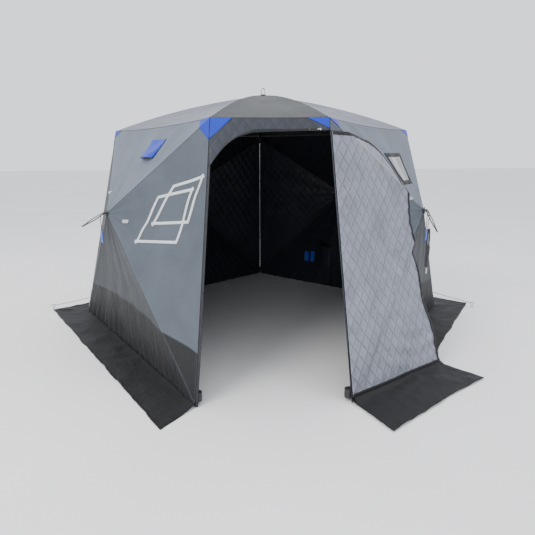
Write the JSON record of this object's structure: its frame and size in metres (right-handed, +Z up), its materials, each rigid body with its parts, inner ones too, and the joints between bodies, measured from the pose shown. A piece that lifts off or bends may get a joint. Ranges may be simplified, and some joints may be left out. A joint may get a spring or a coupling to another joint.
{
  "type": "ice fishing shelter",
  "caption": "Five-sided pop-up ice fishing shelter with hub-tensioned insulated walls and roof, an open quilted corner door, ground skirts and guy lines.",
  "frame": {"origin": "on the ice at the centre of the floor, straight under the roof hub", "axes": "X to the right seen from in front of the doorway, Y to the back, Z up; the doorway faces -Y"},
  "size_m": [4.459, 4.2826, 2.165],
  "materials": {
    "shell_fabric": "matte",
    "roof_fabric": "matte",
    "skirt_fabric": "matte",
    "accent_fabric": "satin",
    "quilt": "satin",
    "window_film": "gloss",
    "webbing": "matte",
    "pocket_fabric": "matte",
    "zip": "matte",
    "zip_metal": "polished",
    "hub_plastic": "satin",
    "cap_plastic": "satin",
    "rod": "satin",
    "fitting_plastic": "matte",
    "cord": "matte",
    "anchor_steel": "brushed"
  },
  "bodies": {
    "shell": {"wall_left_front": "shell_fabric", "wall_left_back": "shell_fabric", "wall_right_back": "shell_fabric", "wall_right_front": "shell_fabric", "roof_fabric": "roof_fabric", "window": "window_film", "vent_hood": "accent_fabric", "corner_patches": "accent_fabric", "wall_skirts": "skirt_fabric", "upper_fittings": "fitting_plastic", "foot_fittings": "fitting_plastic", "front_surround": "shell_fabric", "zip_track": "zip", "guy_line_left": "cord", "guy_line_right": "cord", "ice_anchors": "anchor_steel", "corner_straps": "accent_fabric", "storage_pocket": "pocket_fabric"},
    "hub_left_front": {"hub_left_front": "hub_plastic", "cap_left_front": "cap_plastic", "pull_cord_left": "cord"},
    "rod_left_front_upper_start": {"rod_left_front_upper_start": "rod"},
    "rod_left_front_upper_end": {"rod_left_front_upper_end": "rod"},
    "rod_left_front_lower_start": {"rod_left_front_lower_start": "rod"},
    "rod_left_front_lower_end": {"rod_left_front_lower_end": "rod"},
    "handle_left_front": {"handle_left_front": "webbing"},
    "hub_left_back": {"hub_left_back": "hub_plastic", "cap_left_back": "cap_plastic"},
    "rod_left_back_upper_start": {"rod_left_back_upper_start": "rod"},
    "rod_left_back_upper_end": {"rod_left_back_upper_end": "rod"},
    "rod_left_back_lower_start": {"rod_left_back_lower_start": "rod"},
    "rod_left_back_lower_end": {"rod_left_back_lower_end": "rod"},
    "handle_left_back": {"handle_left_back": "webbing"},
    "hub_right_back": {"hub_right_back": "hub_plastic", "cap_right_back": "cap_plastic"},
    "rod_right_back_upper_start": {"rod_right_back_upper_start": "rod"},
    "rod_right_back_upper_end": {"rod_right_back_upper_end": "rod"},
    "rod_right_back_lower_start": {"rod_right_back_lower_start": "rod"},
    "rod_right_back_lower_end": {"rod_right_back_lower_end": "rod"},
    "handle_right_back": {"handle_right_back": "webbing"},
    "hub_right_front": {"hub_right_front": "hub_plastic", "cap_right_front": "cap_plastic", "pull_cord_right": "cord", "rope_hank": "cord"},
    "rod_right_front_upper_start": {"rod_right_front_upper_start": "rod"},
    "rod_right_front_upper_end": {"rod_right_front_upper_end": "rod"},
    "rod_right_front_lower_start": {"rod_right_front_lower_start": "rod"},
    "rod_right_front_lower_end": {"rod_right_front_lower_end": "rod"},
    "handle_right_front": {"handle_right_front": "webbing"},
    "hub_roof": {"hub_roof": "hub_plastic", "cap_roof": "cap_plastic"},
    "rod_roof_front_right": {"rod_roof_front_right": "rod"},
    "rod_roof_right": {"rod_roof_right": "rod"},
    "rod_roof_back": {"rod_roof_back": "rod"},
    "rod_roof_left": {"rod_roof_left": "rod"},
    "rod_roof_front_left": {"rod_roof_front_left": "rod"},
    "door": {"door_panel": "quilt"},
    "apron": {"door_apron": "skirt_fabric"},
    "slider": {"zip_slider": "zip_metal"},
    "pull": {"zip_pull": "webbing"}
  },
  "joints": [
    {"name": "hub_left_front_push", "type": "slide", "parent": "shell", "child": "hub_left_front", "axis": [-0.8234, -0.5378, 0.1808], "range_m": [-0.25, 0], "deforming": ["wall_left_front", "vent_hood", "corner_patches", "corner_straps"]},
    {"name": "rod_left_front_upper_start_turn", "type": "hinge", "parent": "hub_left_front", "child": "rod_left_front_upper_start", "pos_m": [-1.22737, -0.76982, 1.15311], "axis": [-0.4584, 0.4429, -0.7705], "range_deg": [-13.92, 0.2]},
    {"name": "rod_left_front_upper_end_turn", "type": "hinge", "parent": "hub_left_front", "child": "rod_left_front_upper_end", "pos_m": [-1.19824, -0.81443, 1.15311], "axis": [-0.2213, 0.5978, 0.7705], "range_deg": [-13.92, 0.2]},
    {"name": "rod_left_front_lower_start_turn", "type": "hinge", "parent": "hub_left_front", "child": "rod_left_front_lower_start", "pos_m": [-1.23323, -0.77539, 1.10987], "axis": [0.2552, -0.6356, -0.7286], "range_deg": [-9.79, 0.2]},
    {"name": "rod_left_front_lower_end_turn", "type": "hinge", "parent": "hub_left_front", "child": "rod_left_front_lower_end", "pos_m": [-1.20569, -0.81756, 1.10987], "axis": [0.4795, -0.4892, 0.7286], "range_deg": [-9.79, 0.2]},
    {"name": "handle_left_front_swing", "type": "hinge", "parent": "hub_left_front", "child": "handle_left_front", "pos_m": [-1.26541, -0.82649, 1.14318], "axis": [0.5468, -0.8372, 0], "range_deg": [-90, 45]},
    {"name": "hub_left_back_push", "type": "slide", "parent": "shell", "child": "hub_left_back", "axis": [-0.6459, 0.7417, 0.1808], "range_m": [-0.25, 0], "deforming": ["wall_left_back", "corner_patches"]},
    {"name": "rod_left_back_upper_start_turn", "type": "hinge", "parent": "hub_left_back", "child": "rod_left_back_upper_start", "pos_m": [-0.93122, 1.10991, 1.15311], "axis": [0.3757, 0.515, -0.7705], "range_deg": [-13.92, 0.2]},
    {"name": "rod_left_back_upper_end_turn", "type": "hinge", "parent": "hub_left_back", "child": "rod_left_back_upper_end", "pos_m": [-0.97139, 1.07493, 1.15311], "axis": [0.5617, 0.3013, 0.7705], "range_deg": [-13.92, 0.2]},
    {"name": "rod_left_back_lower_start_turn", "type": "hinge", "parent": "hub_left_back", "child": "rod_left_back_lower_start", "pos_m": [-0.93753, 1.11496, 1.10987], "axis": [-0.5945, -0.3401, -0.7286], "range_deg": [-9.79, 0.2]},
    {"name": "rod_left_back_lower_end_turn", "type": "hinge", "parent": "hub_left_back", "child": "rod_left_back_lower_end", "pos_m": [-0.97552, 1.08188, 1.10987], "axis": [-0.4186, -0.5421, 0.7286], "range_deg": [-9.79, 0.2]},
    {"name": "handle_left_back_swing", "type": "hinge", "parent": "hub_left_back", "child": "handle_left_back", "pos_m": [-0.99257, 1.1398, 1.14318], "axis": [-0.7541, -0.6567, 0], "range_deg": [-120, 8]},
    {"name": "hub_right_back_push", "type": "slide", "parent": "shell", "child": "hub_right_back", "axis": [0.6459, 0.7417, 0.1808], "range_m": [-0.25, 0], "deforming": ["wall_right_back", "corner_patches", "storage_pocket"]},
    {"name": "rod_right_back_upper_start_turn", "type": "hinge", "parent": "hub_right_back", "child": "rod_right_back_upper_start", "pos_m": [0.97139, 1.07493, 1.15311], "axis": [0.5617, -0.3013, -0.7705], "range_deg": [-13.92, 0.2]},
    {"name": "rod_right_back_upper_end_turn", "type": "hinge", "parent": "hub_right_back", "child": "rod_right_back_upper_end", "pos_m": [0.93122, 1.10991, 1.15311], "axis": [0.3757, -0.515, 0.7705], "range_deg": [-13.92, 0.2]},
    {"name": "rod_right_back_lower_start_turn", "type": "hinge", "parent": "hub_right_back", "child": "rod_right_back_lower_start", "pos_m": [0.97552, 1.08188, 1.10987], "axis": [-0.4186, 0.5421, -0.7286], "range_deg": [-9.79, 0.2]},
    {"name": "rod_right_back_lower_end_turn", "type": "hinge", "parent": "hub_right_back", "child": "rod_right_back_lower_end", "pos_m": [0.93753, 1.11496, 1.10987], "axis": [-0.5945, 0.3401, 0.7286], "range_deg": [-9.79, 0.2]},
    {"name": "handle_right_back_swing", "type": "hinge", "parent": "hub_right_back", "child": "handle_right_back", "pos_m": [0.99257, 1.1398, 1.14318], "axis": [-0.7541, 0.6567, 0], "range_deg": [-120, 8]},
    {"name": "hub_right_front_push", "type": "slide", "parent": "shell", "child": "hub_right_front", "axis": [0.8234, -0.5378, 0.1808], "range_m": [-0.25, 0], "deforming": ["wall_right_front", "window", "corner_patches", "corner_straps"]},
    {"name": "rod_right_front_upper_start_turn", "type": "hinge", "parent": "hub_right_front", "child": "rod_right_front_upper_start", "pos_m": [1.19824, -0.81443, 1.15311], "axis": [-0.2213, -0.5978, -0.7705], "range_deg": [-13.92, 0.2]},
    {"name": "rod_right_front_upper_end_turn", "type": "hinge", "parent": "hub_right_front", "child": "rod_right_front_upper_end", "pos_m": [1.22737, -0.76982, 1.15311], "axis": [-0.4584, -0.4429, 0.7705], "range_deg": [-13.92, 0.2]},
    {"name": "rod_right_front_lower_start_turn", "type": "hinge", "parent": "hub_right_front", "child": "rod_right_front_lower_start", "pos_m": [1.20569, -0.81756, 1.10987], "axis": [0.4795, 0.4892, -0.7286], "range_deg": [-9.79, 0.2]},
    {"name": "rod_right_front_lower_end_turn", "type": "hinge", "parent": "hub_right_front", "child": "rod_right_front_lower_end", "pos_m": [1.23323, -0.77539, 1.10987], "axis": [0.2552, 0.6356, 0.7286], "range_deg": [-9.79, 0.2]},
    {"name": "handle_right_front_swing", "type": "hinge", "parent": "hub_right_front", "child": "handle_right_front", "pos_m": [1.26541, -0.82649, 1.14318], "axis": [0.5468, 0.8372, 0], "range_deg": [-90, 0]},
    {"name": "hub_roof_push", "type": "slide", "parent": "shell", "child": "hub_roof", "axis": [0, 0, 1], "range_m": [-0.24, 0], "deforming": ["roof_fabric"]},
    {"name": "rod_roof_front_right_turn", "type": "hinge", "parent": "hub_roof", "child": "rod_roof_front_right", "pos_m": [0.01579, -0.05581, 2.066], "axis": [0.9622, 0.2723, 0], "range_deg": [-11.27, 0.2]},
    {"name": "rod_roof_right_turn", "type": "hinge", "parent": "hub_roof", "child": "rod_roof_right", "pos_m": [0.05745, 0.00797, 2.066], "axis": [-0.1374, 0.9905, 0], "range_deg": [-11.27, 0.2]},
    {"name": "rod_roof_back_turn", "type": "hinge", "parent": "hub_roof", "child": "rod_roof_back", "pos_m": [0, 0.058, 2.066], "axis": [-1, 0, 0], "range_deg": [-11.27, 0.2]},
    {"name": "rod_roof_left_turn", "type": "hinge", "parent": "hub_roof", "child": "rod_roof_left", "pos_m": [-0.05745, 0.00797, 2.066], "axis": [-0.1374, -0.9905, 0], "range_deg": [-11.27, 0.2]},
    {"name": "rod_roof_front_left_turn", "type": "hinge", "parent": "hub_roof", "child": "rod_roof_front_left", "pos_m": [-0.01579, -0.05581, 2.066], "axis": [0.9622, -0.2723, 0], "range_deg": [-11.27, 0.2]},
    {"name": "door_swing", "type": "hinge", "parent": "shell", "child": "door", "pos_m": [0.50236, -1.77529, 0.004], "axis": [-0.0645, 0.2279, 0.9716], "range_deg": [-214, 0]},
    {"name": "apron_fold", "type": "hinge", "parent": "door", "child": "apron", "pos_m": [0.56255, -1.73846, 0.0075], "axis": [-0.8215, -0.5702, 0], "range_deg": [0, 70]},
    {"name": "zip_slide", "type": "slide", "parent": "shell", "child": "slider", "axis": [0.9997, 0.0055, 0.0234], "range_m": [-0.4, 0]},
    {"name": "pull_swing", "type": "hinge", "parent": "slider", "child": "pull", "pos_m": [0.318, -1.38362, 1.73306], "axis": [-0.0241, 0.2283, 0.9733], "range_deg": [0, 140]}
  ],
  "couplings": [
    {"joint": "rod_left_front_upper_start_turn", "follows": "hub_left_front_push", "rad_per_m": 0.95811},
    {"joint": "rod_left_front_upper_end_turn", "follows": "hub_left_front_push", "rad_per_m": 0.95811},
    {"joint": "rod_left_front_lower_start_turn", "follows": "hub_left_front_push", "rad_per_m": 0.66959},
    {"joint": "rod_left_front_lower_end_turn", "follows": "hub_left_front_push", "rad_per_m": 0.66959},
    {"joint": "rod_left_back_upper_start_turn", "follows": "hub_left_back_push", "rad_per_m": 0.95811},
    {"joint": "rod_left_back_upper_end_turn", "follows": "hub_left_back_push", "rad_per_m": 0.95811},
    {"joint": "rod_left_back_lower_start_turn", "follows": "hub_left_back_push", "rad_per_m": 0.66959},
    {"joint": "rod_left_back_lower_end_turn", "follows": "hub_left_back_push", "rad_per_m": 0.66959},
    {"joint": "rod_right_back_upper_start_turn", "follows": "hub_right_back_push", "rad_per_m": 0.95811},
    {"joint": "rod_right_back_upper_end_turn", "follows": "hub_right_back_push", "rad_per_m": 0.95811},
    {"joint": "rod_right_back_lower_start_turn", "follows": "hub_right_back_push", "rad_per_m": 0.66959},
    {"joint": "rod_right_back_lower_end_turn", "follows": "hub_right_back_push", "rad_per_m": 0.66959},
    {"joint": "rod_right_front_upper_start_turn", "follows": "hub_right_front_push", "rad_per_m": 0.95811},
    {"joint": "rod_right_front_upper_end_turn", "follows": "hub_right_front_push", "rad_per_m": 0.95811},
    {"joint": "rod_right_front_lower_start_turn", "follows": "hub_right_front_push", "rad_per_m": 0.66959},
    {"joint": "rod_right_front_lower_end_turn", "follows": "hub_right_front_push", "rad_per_m": 0.66959},
    {"joint": "rod_roof_front_right_turn", "follows": "hub_roof_push", "rad_per_m": 0.80485},
    {"joint": "rod_roof_right_turn", "follows": "hub_roof_push", "rad_per_m": 0.80485},
    {"joint": "rod_roof_back_turn", "follows": "hub_roof_push", "rad_per_m": 0.80485},
    {"joint": "rod_roof_left_turn", "follows": "hub_roof_push", "rad_per_m": 0.80485},
    {"joint": "rod_roof_front_left_turn", "follows": "hub_roof_push", "rad_per_m": 0.80485}
  ]
}
